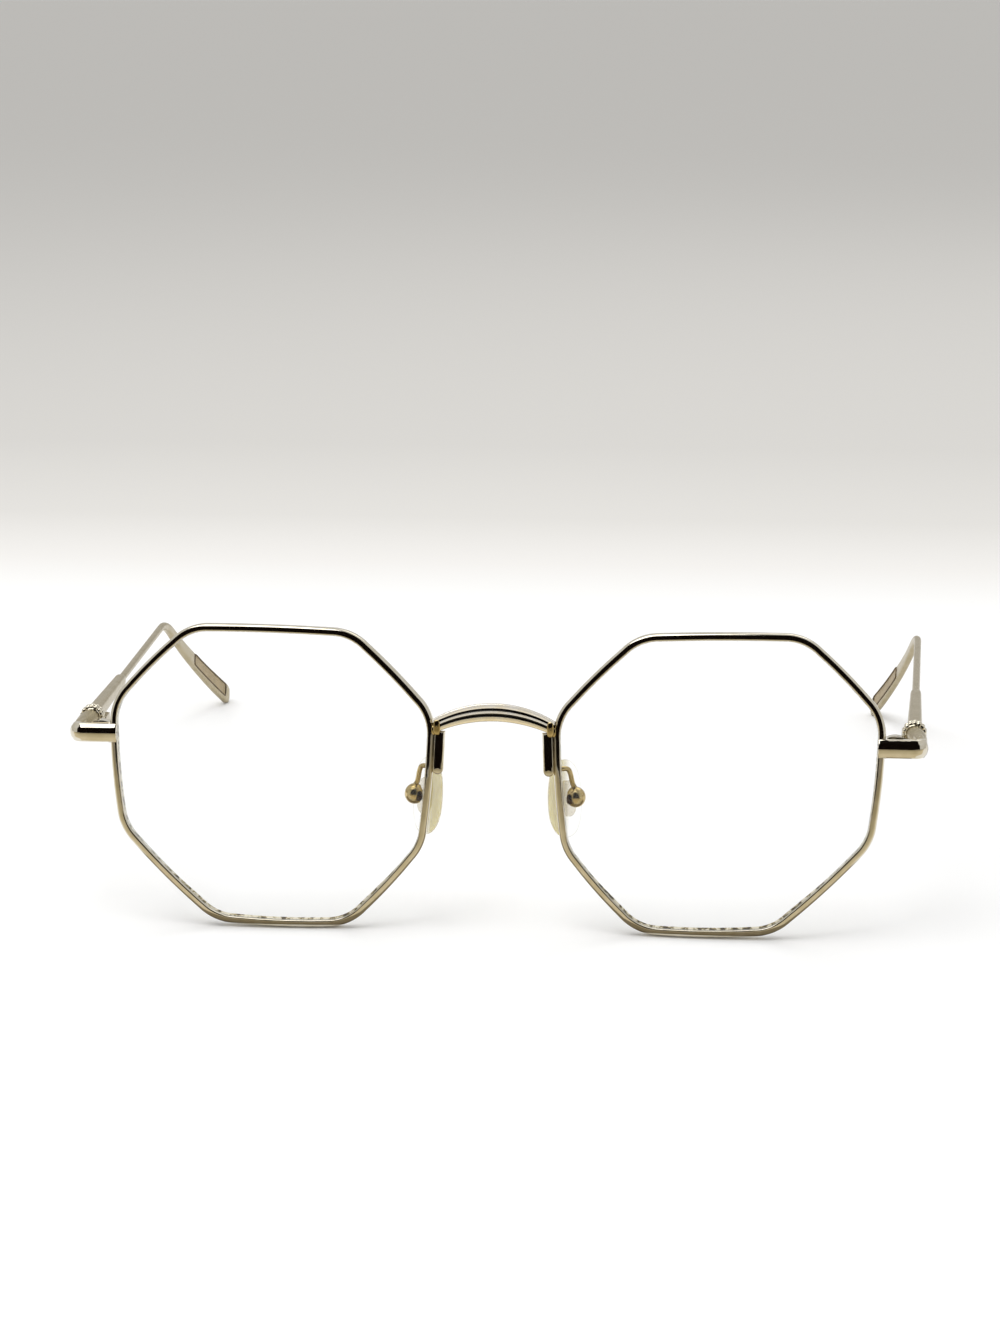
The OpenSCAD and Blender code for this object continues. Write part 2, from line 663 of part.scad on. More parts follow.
bridge();
rim();  // rim_right
left() rim();  // rim_left
lens();  // lens_right
left() lens();  // lens_left
pad_leg();  // pad_leg_right
left() pad_leg();  // pad_leg_left
pad_wire();  // pad_wire_right
left() pad_wire();  // pad_wire_left
pad_box();  // pad_box_right
left() pad_box();  // pad_box_left
pad_pin();  // pad_pin_right
left() pad_pin();  // pad_pin_left
pad_core();  // pad_core_right
left() pad_core();  // pad_core_left
nose_pad();  // nose_pad_right
left() nose_pad();  // nose_pad_left
end_piece();  // end_piece_right
left() end_piece();  // end_piece_left
front_collar();  // front_collar_right
left() front_collar();  // front_collar_left
block_upper();  // block_upper_right
left() block_upper();  // block_upper_left
block_lower();  // block_lower_right
left() block_lower();  // block_lower_left
lock_screw();  // lock_screw_right
left() lock_screw();  // lock_screw_left
hinge_front();  // hinge_front_right
left() hinge_front();  // hinge_front_left
hinge_temple();  // hinge_temple_right
left() hinge_temple();  // hinge_temple_left
hinge_screw();  // hinge_screw_right
left() hinge_screw();  // hinge_screw_left
temple_collar();  // temple_collar_right
left() temple_collar();  // temple_collar_left
temple_front();  // temple_front_right
left() temple_front();  // temple_front_left
temple_wire();  // temple_wire_right
left() temple_wire();  // temple_wire_left
temple_tip();  // temple_tip_right
left() temple_tip();  // temple_tip_left
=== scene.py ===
import json
import math

import bpy
import numpy as np
from mathutils import Matrix, Vector


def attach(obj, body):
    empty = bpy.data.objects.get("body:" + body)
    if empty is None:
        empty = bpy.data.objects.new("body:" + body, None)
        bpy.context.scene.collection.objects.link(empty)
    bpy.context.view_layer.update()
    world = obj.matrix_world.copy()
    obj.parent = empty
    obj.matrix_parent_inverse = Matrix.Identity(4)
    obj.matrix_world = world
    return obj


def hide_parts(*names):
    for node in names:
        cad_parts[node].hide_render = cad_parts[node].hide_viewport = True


# Octagonal wire-rim eyeglasses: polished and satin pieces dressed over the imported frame.
# Lengths are millimetres until a mesh is written, which is in metres. The table, the cards round
# it, the lamps and the camera are placed in metres.

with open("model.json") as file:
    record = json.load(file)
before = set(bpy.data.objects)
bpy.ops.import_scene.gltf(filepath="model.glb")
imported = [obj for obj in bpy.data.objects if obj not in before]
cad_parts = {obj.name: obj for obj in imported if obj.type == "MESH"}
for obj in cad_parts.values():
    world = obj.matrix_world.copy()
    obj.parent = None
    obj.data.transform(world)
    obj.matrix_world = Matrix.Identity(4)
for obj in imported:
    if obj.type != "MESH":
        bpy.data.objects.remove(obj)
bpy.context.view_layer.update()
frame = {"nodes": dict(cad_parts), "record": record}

# Sizes of the frame, as in the part's source: rims and lenses
HALF_SPACING = 35.5
RIM_WIDTH, RIM_HEIGHT = 53.6, 50.0
CORNER_R, SIDE_BOW = 8.5, 0.18
BASE_CURVE_R = 120.0
RIM_W, RIM_D, GROOVE_D = 1.25, 1.9, 0.55
GROOVE_MID, GROOVE_OPEN = RIM_D / 2, 0.5
LENS_T = 1.5
# Corners of the right-hand outline, clockwise from the upper nasal one, as shares of half the
# rim's width and height, and the numbers of two of its sides
CORNER_X = np.array([-0.485, 0.51, 0.993, 0.93, 0.353, -0.472, -0.924, -0.987])
CORNER_Z = np.array([0.999, 1.018, 0.502, -0.316, -0.921, -0.937, -0.397, 0.457])
TEMPLE_SIDE, NASAL_SIDE = 2, 6
# End pieces, bridge, pad legs and pads
END_Z, END_H, BAR_T, ELBOW_IN = 7.5, 3.0, 1.9, 0.5
RIM_SIDE, BLOCK_IN = 61.7504, 61.8904
ELBOW_X, ELBOW_Y = 66.0004, 4.47302
BRIDGE_Z, BRIDGE_RISE, BRIDGE_H, BRIDGE_D = 9.7, 1.95, 2.15, 1.7
BRIDGE_HALF, BRIDGE_Y, REEDS = 9.46205, 2.63945, 3
LEG_W, LEG_T, LEG_TOP, LEG_BOTTOM = 1.4, 1.5, BRIDGE_Z - BRIDGE_H / 2 - 0.15, 2.8
PAD_DEEP, PAD_WIDE, PAD_HIGH = 2.6, 7.6, 12.6
# Temples
BEND_START, BEND_R, BEND_ANGLE, TEMPLE_S = 86.3364, 16.0, math.radians(32.5), 129.249
DROP_START = BEND_START + BEND_R * BEND_ANGLE
TAPER_LEN, WIRE_R, PADDLE_H, INWARD = 33.0, 0.65, 4.2, 8.6
RECESS_FROM, RECESS_TO = TEMPLE_S - 20, TEMPLE_S - 2.6
# Angles in degrees
LEAN_BACK, TEMPLE_SPLAY, TEMPLE_FALL, PAD_SPLAY, PAD_TILT = 7.2, 4.0, 4.10128, 56.0, 6.0


def turning(axis, degrees):
    """The matrix that turns by this many degrees about the axis X, Y or Z."""
    c, s = math.cos(math.radians(degrees)), math.sin(math.radians(degrees))
    i = "XYZ".index(axis)
    j, k = (i + 1) % 3, (i + 2) % 3
    matrix = np.eye(3)
    matrix[j, j] = matrix[k, k] = c
    matrix[j, k], matrix[k, j] = -s, s
    return matrix


# Places: a turning matrix and an origin for the front, a temple and a pad
LEAN = turning("X", -LEAN_BACK)
FRONT_AT = np.array([0, -68.0233, 23.7109])
FRONT = (LEAN, FRONT_AT)
HINGE_AT = np.array([66.8004, -53.8455, 30.5911])
TEMPLE = (turning("Z", -TEMPLE_SPLAY) @ turning("X", -TEMPLE_FALL), HINGE_AT)
BOX_AT = np.array([12.95, 6.92306, -1.95])
PAD = (LEAN @ turning("Z", PAD_SPLAY) @ turning("X", -PAD_TILT), FRONT_AT + LEAN @ BOX_AT)


def place(points, at):
    """Points of one place in the frame's own space: turned by its matrix, then moved."""
    return np.asarray(points, float) @ at[0].T + at[1]


def unit(v):
    """Vectors along the last axis, each divided by its length."""
    return v / np.linalg.norm(v, axis=-1, keepdims=True)


def smooth(k):
    """The ease 3k^2 - 2k^3 of k limited to 0..1."""
    k = np.clip(k, 0, 1)
    return k * k * (3 - 2 * k)


def signed_power(v, power):
    """sign(v) |v|^power. Below 1 it pushes a circle's cos and sin out towards a square."""
    return np.sign(v) * np.abs(v) ** power


def full_turn(count):
    """Angles in equal steps once round."""
    return np.linspace(0, 2 * math.pi, count, endpoint=False)


def dish(q):
    """Set-back of the base sphere behind its front point: R - sqrt(R^2 - |q|^2)."""
    return BASE_CURVE_R - np.sqrt(BASE_CURVE_R ** 2 - (q ** 2).sum(-1))


# ---------------------------------------------------------------- meshes

def write_mesh(name, verts, faces, sharp=35.0):
    """A mesh object at the origin from points in millimetres and blocks of faces, with edges
    sharper than this many degrees kept sharp. The signed volume, a sixth of the sum of
    a.(b x c) over the triangles of all faces, is made positive, so that faces point outwards."""
    verts = np.asarray(verts, float)
    fans = [np.stack([np.repeat(f[:, :1], f.shape[1] - 2, 1), f[:, 1:-1], f[:, 2:]], -1)
            .reshape(-1, 3) for f in faces]
    a, b, c = (verts[np.concatenate(fans)[:, i]] for i in range(3))
    if (a * np.cross(b, c)).sum() < 0:
        faces = [f[:, ::-1] for f in faces]
    mesh = bpy.data.meshes.new(name)
    mesh.from_pydata((verts / 1000).tolist(), [], [f for block in faces for f in block.tolist()])
    mesh.shade_smooth()
    mesh.set_sharp_from_angle(angle=math.radians(sharp))
    piece = bpy.data.objects.new(name, mesh)
    bpy.context.scene.collection.objects.link(piece)
    return piece


def skin(rings, closed=False):
    """Points and faces of a skin over rings, an array of (ring, point, 3). Ring i and point j are
    joined to i+1 and j+1; open ends get a fan round the mean of their ring."""
    n, m, _ = rings.shape
    i, j = np.meshgrid(np.arange(n if closed else n - 1), np.arange(m), indexing="ij")
    i, j = i.ravel(), j.ravel()
    i2, j2 = (i + 1) % n, (j + 1) % m
    quads = np.stack([i * m + j, i * m + j2, i2 * m + j2, i2 * m + j], 1)
    points = rings.reshape(-1, 3)
    if closed:
        return points, [quads]
    points = np.vstack([points, rings[0].mean(0), rings[-1].mean(0)])
    k = np.arange(m)
    k2 = (k + 1) % m
    caps = np.concatenate([
        np.stack([np.full(m, n * m), k2, k], 1),
        np.stack([np.full(m, n * m + 1), (n - 1) * m + k, (n - 1) * m + k2], 1)])
    return points, [quads, caps]


def corner_arcs(corners, radii, shares):
    """Arcs that touch both edges at each corner of a closed outline, at these shares of the arc
    k: mid + (sin((1-k)a) u + sin(k a) v) / sin a, where u and v are the arc's end radii and a the
    angle between them. Returns the arcs, their first and last points and the edges' directions."""
    p = np.asarray(corners, float)
    r = np.broadcast_to(np.asarray(radii, float), (len(p),))[:, None]
    to_last, to_next = unit(np.roll(p, 1, 0) - p), unit(np.roll(p, -1, 0) - p)
    half = np.arccos(np.clip((to_last * to_next).sum(1, keepdims=True), -1, 1)) / 2
    mid = p + unit(to_last + to_next) * r / np.sin(half)
    first, last = p + to_last * r / np.tan(half), p + to_next * r / np.tan(half)
    a = (math.pi - 2 * half)[:, None]
    k = shares[None, :, None]
    arcs = mid[:, None] + (np.sin((1 - k) * a) * (first - mid)[:, None]
                           + np.sin(k * a) * (last - mid)[:, None]) / np.sin(a)
    return arcs, first, last, to_next


def rounded(corners, radii, steps=5):
    """A closed outline whose corners are arcs of their own radii."""
    return corner_arcs(corners, radii, np.linspace(0, 1, steps + 1))[0].reshape(-1, 2)


def resampled(outline, count):
    """The closed outline at equal steps of its length, from its first point."""
    loop = np.vstack([outline, outline[:1]])
    run = np.concatenate([[0], np.cumsum(np.linalg.norm(np.diff(loop, axis=0), axis=1))])
    at = np.linspace(0, run[-1], count, endpoint=False)
    return np.stack([np.interp(at, run, loop[:, i]) for i in range(2)], 1)


def tube(path, ahead, beside, radius, count):
    """Rings of a round tube on a path with its directions ahead: circles between the unit
    vector side = ahead x beside and side x ahead."""
    side = unit(np.cross(ahead, beside))
    up = np.cross(side, ahead)
    turn = full_turn(count)
    circle = radius * np.stack([np.cos(turn), np.sin(turn)], 1)
    return path[:, None] + circle[:, :1] * side[:, None] + circle[:, 1:] * up[:, None]


def blob(centre, half, turns, power):
    """A soft lump: an ellipsoid of these half sizes whose cos and sin are raised to a power."""
    a = np.linspace(-math.pi / 2 + 0.02, math.pi / 2 - 0.02, turns)[:, None]
    b = full_turn(2 * turns)[None]
    out = signed_power(np.cos(a), power)
    p = np.stack([out * signed_power(np.cos(b), power), out * signed_power(np.sin(b), power),
                  signed_power(np.sin(a), power) + 0 * b], -1)
    return p * half + centre


def both_sides(name, points, faces, body, material, nodes=()):
    """The right-hand piece and its mirror image in X, each on its own side's body, in place of
    that side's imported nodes."""
    for side, flip in (("right", 1), ("left", -1)):
        piece = write_mesh(f"{name}_{side}", points * [flip, 1, 1], faces)
        piece.data.materials.append(material)
        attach(piece, body.format(side))
        if nodes:
            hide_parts(*[f"{n}_{side}" for n in nodes])


# ------------------------------------------------------------- materials

def colour(code):
    """An sRGB hex colour as linear red, green, blue and alpha."""
    c = np.array([int(code[i:i + 2], 16) for i in (1, 3, 5)]) / 255
    c = np.where(c <= 0.04045, c / 12.92, ((c + 0.055) / 1.055) ** 2.4)
    return (*c.tolist(), 1.0)


def node(tree, kind, settings=None, links=None):
    """One node: settings are attributes or, by input name or number, values; links give for an
    input the node and output that feed it."""
    made = tree.nodes.new(kind)
    for key, value in (settings or {}).items():
        if isinstance(key, int) or key in made.inputs:
            made.inputs[key].default_value = value
        else:
            setattr(made, key, value)
    for key, (source, output) in (links or {}).items():
        tree.links.new(source.outputs[output], made.inputs[key])
    return made


def ramp(tree, source, *points):
    """A colour ramp fed by a node's output, with its stops from (place, hex colour) pairs."""
    made = node(tree, "ShaderNodeValToRGB", links={0: source})
    band = made.color_ramp.elements
    while len(band) < len(points):
        band.new(0.5)
    for stop, (at, code) in zip(band, points):
        stop.position, stop.color = at, colour(code)
    return made


def noise(tree, at, size_mm, detail, rough=0.5):
    """Noise in a piece's own space, with lumps of about this many millimetres."""
    return node(tree, "ShaderNodeTexNoise",
                {"Scale": 1000 / size_mm, "Detail": detail, "Roughness": rough},
                {"Vector": (at, "Object")})


def new_material(name):
    """A new material, its node tree and the shader that the caller feeds."""
    material = bpy.data.materials.new(name)
    material.use_nodes = True
    tree = material.node_tree
    tree.nodes.clear()
    shader = node(tree, "ShaderNodeBsdfPrincipled")
    node(tree, "ShaderNodeOutputMaterial", links={"Surface": (shader, 0)})
    return material, tree, shader


def plated_metal(name, light, dark, rough, ripple, ripple_mm, mottle_mm=2.0, scratch=0.0,
                 metal=1.0):
    """Nickel-silver wire with a thin gold plate. The plate's tint drifts a little where it was
    rubbed, polishing leaves a slow ripple in the reflections, and handling leaves fine scratches.
    A brushed or worn plate has a metal share below 1: it isn't quite a mirror."""
    material, tree, shader = new_material(name)
    at = node(tree, "ShaderNodeTexCoord")
    drift = noise(tree, at, mottle_mm, 4.0)
    tint = ramp(tree, (drift, 0), (0.35, dark), (0.65, light))
    tree.links.new(tint.outputs[0], shader.inputs["Base Color"])
    wave = noise(tree, at, ripple_mm, 2.0)
    hair = noise(tree, at, 0.25, 3.0)
    gloss = node(tree, "ShaderNodeMapRange", {"To Min": rough * 0.8, "To Max": rough * 1.3},
                 {"Value": (hair, 0)})
    tree.links.new(gloss.outputs[0], shader.inputs["Roughness"])
    relief = node(tree, "ShaderNodeMath", {"operation": "MULTIPLY_ADD", 1: scratch},
                  {0: (hair, 0), 2: (wave, 0)})
    bump = node(tree, "ShaderNodeBump", {"Strength": ripple, "Distance": 0.0001},
                {"Height": (relief, 0)})
    tree.links.new(bump.outputs[0], shader.inputs["Normal"])
    shader.inputs["Metallic"].default_value = metal
    return material


def reeded_metal(name):
    """The plated bridge bar, worn to a soft white. Near-black bands are painted along its reeds:
    painted shade in the valleys between the reeds and painted reflection of the dark room; its
    lower and upper edges are darker.
    The mesh's own U runs from 0 at its lower edge to 1 at the upper."""
    material = plated_metal(name, "#fffaf0", "#fbf1dc", 0.12, 0.25, 3.5, metal=0.35)
    tree = material.node_tree
    shader = next(n for n in tree.nodes if n.type == "BSDF_PRINCIPLED")
    tint = shader.inputs["Base Color"].links[0].from_socket
    at = node(tree, "ShaderNodeUVMap", {"uv_map": "across"})
    axis = node(tree, "ShaderNodeSeparateXYZ", links={0: (at, 0)})
    # Near-black bands over the valleys between the reeds: painted shade and painted reflection
    painted_dark_bands = ramp(tree, (axis, 0),
                 (0.0, "#3a2c20"), (0.05, "#f6ecd2"), (0.25, "#f6ecd2"), (0.27, "#060403"),
                 (0.45, "#060403"), (0.47, "#ffffff"), (0.57, "#ffffff"), (0.59, "#080504"),
                 (0.73, "#080504"), (0.75, "#ffffff"), (0.96, "#ffffff"), (1.0, "#5a5048"))
    both = node(tree, "ShaderNodeMix", {"data_type": "RGBA", "blend_type": "MULTIPLY", 0: 1.0})
    tree.links.new(tint, both.inputs[6])
    tree.links.new(painted_dark_bands.outputs[0], both.inputs[7])
    tree.links.new(both.outputs[2], shader.inputs["Base Color"])
    return material


def clear_lens(name):
    """Hard-coated optical plastic. It lets nearly all light through and only shows a pale skin
    of reflection towards its edges, where it is seen at a slant."""
    material, tree, shader = new_material(name)
    facing = node(tree, "ShaderNodeLayerWeight", {"Blend": 0.18})
    cover = node(tree, "ShaderNodeMapRange", {"To Min": 0.015, "To Max": 0.5},
                 {"Value": (facing, "Fresnel")})
    tree.links.new(cover.outputs[0], shader.inputs["Alpha"])
    shader.inputs["Base Color"].default_value = colour("#f4f7f6")
    shader.inputs["Roughness"].default_value = 0.02
    return material


def ground_edge(name):
    """The ground bevel of a lens in its groove: a rough, pale edge with dark flecks where the
    groove's metal shows through."""
    material, tree, shader = new_material(name)
    at = node(tree, "ShaderNodeTexCoord")
    fleck = noise(tree, at, 0.9, 5.0, 0.65)
    tone = ramp(tree, (fleck, 0), (0.43, "#4d412c"), (0.48, "#a89a72"), (0.54, "#e6dfcb"))
    tree.links.new(tone.outputs[0], shader.inputs["Base Color"])
    shader.inputs["Roughness"].default_value = 0.35
    shader.inputs["Metallic"].default_value = 0.4
    return material


def moulded_clear(name, pale, deep, cloud_mm, nasal, outer, rough):
    """A clear moulded plastic with a faint cloud inside, yellowed most on its thick nasal side:
    the cover falls from nasal to outer between 10.4 and 11.8 mm from the middle of the face. Its
    outline shows where it is seen at a slant, through more of its thickness."""
    material, tree, shader = new_material(name)
    at = node(tree, "ShaderNodeTexCoord")
    cloud = noise(tree, at, cloud_mm, 3.0)
    tint = ramp(tree, (cloud, 0), (0.3, deep), (0.7, pale))
    tree.links.new(tint.outputs[0], shader.inputs["Base Color"])
    axis = node(tree, "ShaderNodeSeparateXYZ", links={0: (at, "Object")})
    off = node(tree, "ShaderNodeMath", {"operation": "ABSOLUTE"}, {0: (axis, "X")})
    body = node(tree, "ShaderNodeMapRange",
                {"From Min": 0.0104, "From Max": 0.0118, "To Min": nasal, "To Max": outer},
                {"Value": (off, 0)})
    facing = node(tree, "ShaderNodeLayerWeight", {"Blend": 0.5})
    edge = node(tree, "ShaderNodeMapRange",
                {"From Min": 0.6, "From Max": 0.95, "To Min": 0.0, "To Max": 0.55},
                {"Value": (facing, "Facing")})
    cover = node(tree, "ShaderNodeMath", {"operation": "MAXIMUM"}, {0: (body, 0), 1: (edge, 0)})
    tree.links.new(cover.outputs[0], shader.inputs["Alpha"])
    shader.inputs["Roughness"].default_value = rough
    shader.inputs["Specular IOR Level"].default_value = 0.25
    return material


POLISHED = plated_metal("polished_gold_plate", "#ddd6c6", "#d1c9b4", 0.06, 0.25, 3.5)
SATIN = plated_metal("satin_gold_plate", "#ada082", "#a19471", 0.24, 0.3, 1.6, scratch=0.4,
                     metal=0.85)
TURNED = plated_metal("turned_screw_plate", "#d3c8a8", "#bdb08d", 0.14, 0.3, 0.8, scratch=0.6)
REEDED = reeded_metal("reeded_gold_plate")
FITTING = plated_metal("pad_fitting_plate", "#cbb685", "#a8935f", 0.1, 0.5, 1.2)
# Painted shade: the dark colour of the lump set in each pad box's mouth
MOUTH_SHADE = plated_metal("painted_shade_box_mouth", "#4a3522", "#20150d", 0.25, 0.5, 0.5, 0.5)
PANEL = plated_metal("recess_floor_plate", "#a8946c", "#97845c", 0.35, 0.4, 1.0, scratch=0.5)
# A dark brown line round each tip's recess
RECESS = plated_metal("recess_dark_line", "#6a5636", "#54432a", 0.4, 0.3, 1.0)
LENS = clear_lens("coated_lens_plastic")
EDGE = ground_edge("ground_lens_edge")
# Silicone, slightly yellow with age, and the stiff honey-tinted insert moulded into it
SILICONE = moulded_clear("clear_silicone", "#d4c468", "#c8b658", 3.0, 0.48, 0.02, 0.15)
INSERT = moulded_clear("pad_insert_plastic", "#d9c88c", "#cbb672", 1.2, 0.38, 0.28, 0.2)


# ------------------------------------------------------ rims and lenses

def octagon(arc_steps):
    """The octagon's corner arcs, an array of (corner, step, 2), and of the side behind each
    corner the start, the end and the direction."""
    corners = np.stack([CORNER_X * RIM_WIDTH / 2, CORNER_Z * RIM_HEIGHT / 2], 1)
    arcs, first, last, ahead = corner_arcs(corners, CORNER_R, np.arange(arc_steps) / arc_steps)
    return arcs, last, np.roll(first, -1, 0), ahead


def side_run(start, end, ahead, k):
    """Points of one side at the shares k: straight plus 4 b k (1 - k) outwards."""
    out = np.array([-ahead[1], ahead[0]])
    k = k[:, None]
    return start * (1 - k) + end * k + out * 4 * SIDE_BOW * k * (1 - k)


def rim_loop(seam=None, steps=14):
    """The octagon's points and outward normals, which are square to the chord between a point's
    neighbours. With a seam, two heights on the temple side, the loop starts below the lower one
    and ends above the upper one."""
    arcs, start, end, ahead = octagon(steps)
    k = np.arange(steps) / steps
    runs = [np.vstack([arcs[i], side_run(start[i], end[i], ahead[i], k)]) for i in range(8)]
    if seam is None:
        loop = np.vstack(runs)
        tangent = np.roll(loop, -1, 0) - np.roll(loop, 1, 0)
    else:
        i = TEMPLE_SIDE
        low, high = ((start[i, 1] - z) / (start[i, 1] - end[i, 1]) for z in seam)
        below = side_run(start[i], end[i], ahead[i], low + (1 - low) * k)
        above = side_run(start[i], end[i], ahead[i], high * np.linspace(0, 1, steps + 1))
        loop = np.vstack([below, *runs[i + 1:], *runs[:i], arcs[i], above])
        tangent = np.gradient(loop, axis=0)
    tangent = unit(tangent)
    return loop, np.stack([-tangent[:, 1], tangent[:, 0]], 1)


def rim_section():
    """The wire's section as (outwards, backwards): a soft-cornered bar with a V groove inside,
    a little narrower than the source's in front."""
    outer, inner = -0.06, -RIM_W + 0.05
    return rounded(
        [[outer, 0], [outer, RIM_D], [-RIM_W, RIM_D], [-RIM_W, GROOVE_MID + GROOVE_OPEN],
         [GROOVE_D - RIM_W, GROOVE_MID], [-RIM_W, GROOVE_MID - GROOVE_OPEN], [inner, 0]],
        [0.5, 0.42, 0.3, 0.07, 0.1, 0.07, 0.3], 6)


def rims():
    """Each rim: the section set out along the outline's normals, each point set back by the
    sphere's own depth there, so that the front face leans with the lens."""
    half_seam, forward = 0.1, 0.06
    loop, out = rim_loop(seam=(END_Z - half_seam, END_Z + half_seam))
    section = rim_section()
    flat = loop[:, None] + section[None, :, :1] * out[:, None]
    back = dish(flat) - forward + section[None, :, 1]
    points, faces = skin(np.stack([flat[..., 0] + HALF_SPACING, back, flat[..., 1]], -1))
    both_sides("rim_wire", place(points, FRONT), faces, "front", POLISHED, ["rim"])


def lenses():
    """Each lens: two spherical faces over the inset outline, scaled in rings from the middle,
    and a ground bevel that runs to a blunt edge in the groove. Along the bottom, below 12 mm, the
    bevel stands 0.26 mm out of the groove."""
    loop, out = rim_loop()

    def face(inset, depth, shares):
        """Rings of the inset outline, scaled by the shares and laid on the base sphere."""
        q = (loop - out * inset) * shares
        return np.stack([q[..., 0] + HALF_SPACING, dish(q) + depth, q[..., 1]], -1)

    share = np.linspace(0.02, 1, 24)[:, None, None]
    edge = RIM_W + 0.04
    points, faces = skin(np.concatenate([face(edge, GROOVE_MID - LENS_T / 2, share),
                                         face(edge, GROOVE_MID + LENS_T / 2, share[::-1])]))
    both_sides("lens_blank", place(points, FRONT), faces, "front", LENS, ["lens"])

    foot, blunt, reach = 0.42, 0.06, RIM_W - 0.28
    shown = 0.26 * smooth((-12 - loop[:, 1:]) / 8)
    one = np.ones((1, 1, 1))
    bevel = [face(edge - 0.01, GROOVE_MID - foot, one), face(reach, GROOVE_MID - blunt, one),
             face(reach, GROOVE_MID + blunt, one), face(edge - 0.01, GROOVE_MID + foot, one),
             face(edge + 0.01 + shown, GROOVE_MID, one)]
    points, faces = skin(np.concatenate(bevel).transpose(1, 0, 2), closed=True)
    both_sides("lens_bevel", place(points, FRONT), faces, "front", EDGE)


# ---------------------------------------------------------------- bridge

def nose_side(z):
    """The octagon's nasal side at the heights z: its bowed straight run, and above that the
    corner's arc, mid - sqrt(r^2 - dz^2)."""
    _, start, end, ahead = octagon(2)
    low, high = start[NASAL_SIDE], end[NASAL_SIDE]
    k = (z - low[1]) / (high[1] - low[1])
    straight = low[0] + (high[0] - low[0]) * k - 4 * SIDE_BOW * k * (1 - k)
    out = np.array([-ahead[NASAL_SIDE, 1], ahead[NASAL_SIDE, 0]])
    mid = high - out * CORNER_R
    arc = mid[0] - np.sqrt(np.maximum(CORNER_R ** 2 - (z - mid[1]) ** 2, 0.01))
    return np.where(z > high[1], arc, straight)


def reeded_section():
    """The bridge bar's section as (radial, backwards): half-round reeds side by side in front
    and a flat back with soft corners."""
    r = BRIDGE_H / REEDS / 2
    turn = np.linspace(0.06 * math.pi, 0.94 * math.pi, 14)
    reeds = [np.stack([-BRIDGE_H / 2 + r * (2 * i + 1) - r * np.cos(turn), r - r * np.sin(turn)], 1)
             for i in range(REEDS)]
    corner_r, inset = 0.4, 0.12
    corner = np.linspace(0, math.pi / 2, 6)
    far = np.stack([BRIDGE_H / 2 - inset - corner_r * (1 - np.cos(corner)),
                    BRIDGE_D - corner_r + corner_r * np.sin(corner)], 1)
    near = far[::-1] * [-1, 1]
    return np.vstack([*reeds, far, near])


def bridge():
    """The bar bent to an arch: each line of the section turns round the arch's centre as far as
    the rim's outline, which is found by halving the angle between its bounds. Towards the middle
    the bar grows upwards by 0.36 of its height times 1 - (turn / end)^2."""
    stations, sunk, growth = 80, 0.05, 0.36
    radius = (BRIDGE_HALF ** 2 + BRIDGE_RISE ** 2) / (2 * BRIDGE_RISE)
    centre = BRIDGE_Z + BRIDGE_RISE - radius
    s = reeded_section()
    reach = radius + s[:, 0]
    near, far = np.full(len(s), 0.3), np.full(len(s), 0.5)
    for _ in range(40):
        turn = (near + far) / 2
        x, z = reach * np.sin(turn), reach * np.cos(turn) + centre
        outside = x < HALF_SPACING + nose_side(z) + sunk
        near, far = np.where(outside, turn, near), np.where(outside, far, turn)
    turn = np.linspace(-1, 1, stations)[:, None] * near
    swell = growth * (1 - (turn / near) ** 2)
    reach = reach + swell * (s[:, 0] + BRIDGE_H / 2)
    rings = np.stack([reach * np.sin(turn), s[:, 1] + BRIDGE_Y + 0 * turn,
                      reach * np.cos(turn) + centre], -1)
    points, faces = skin(rings)
    piece = write_mesh("bridge_bar", place(points, FRONT), faces, 50)
    # U across the bar: every ring has the section's own values, and both end fans the middle's
    across = np.append(np.tile(s[:, 0] / BRIDGE_H + 0.5, stations), [0.5, 0.5])
    layer = piece.data.uv_layers.new(name="across")
    for corner in piece.data.loops:
        layer.data[corner.index].uv = (across[corner.vertex_index], 0.5)
    piece.data.materials.append(REEDED)
    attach(piece, "front")
    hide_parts("bridge")


def front_lump(name, centre, half, turns, power, material):
    """A soft lump on both sides of the front."""
    points, faces = skin(blob(centre, half, turns, power))
    both_sides(name, place(points, FRONT), faces, "front", material)


def bridge_caps():
    """The soldered cap on each end of the bar, a soft box that is taller than the bar, and the
    solder between it and the leg."""
    front_lump("bridge_cap", [9.02, BRIDGE_Y + 0.62, 9.5], [0.62, 0.85, 1.3], 26, 0.62, FITTING)
    front_lump("solder_fillet", [9.62, BRIDGE_Y + 0.9, 8.9], [0.42, 0.6, 0.8], 18, 0.8, FITTING)


# ----------------------------------------------------- pad arms and pads

def leg_x(z):
    """Middle of the pad leg beside the rim at the height z."""
    return float(HALF_SPACING + nose_side(z) - 0.03 - LEG_W / 2)


def leg_y(z):
    """Front face of the pad leg at the height z, just before the rim's front."""
    return float(dish(np.array([float(nose_side(z)) + RIM_W, z]))) - 0.1


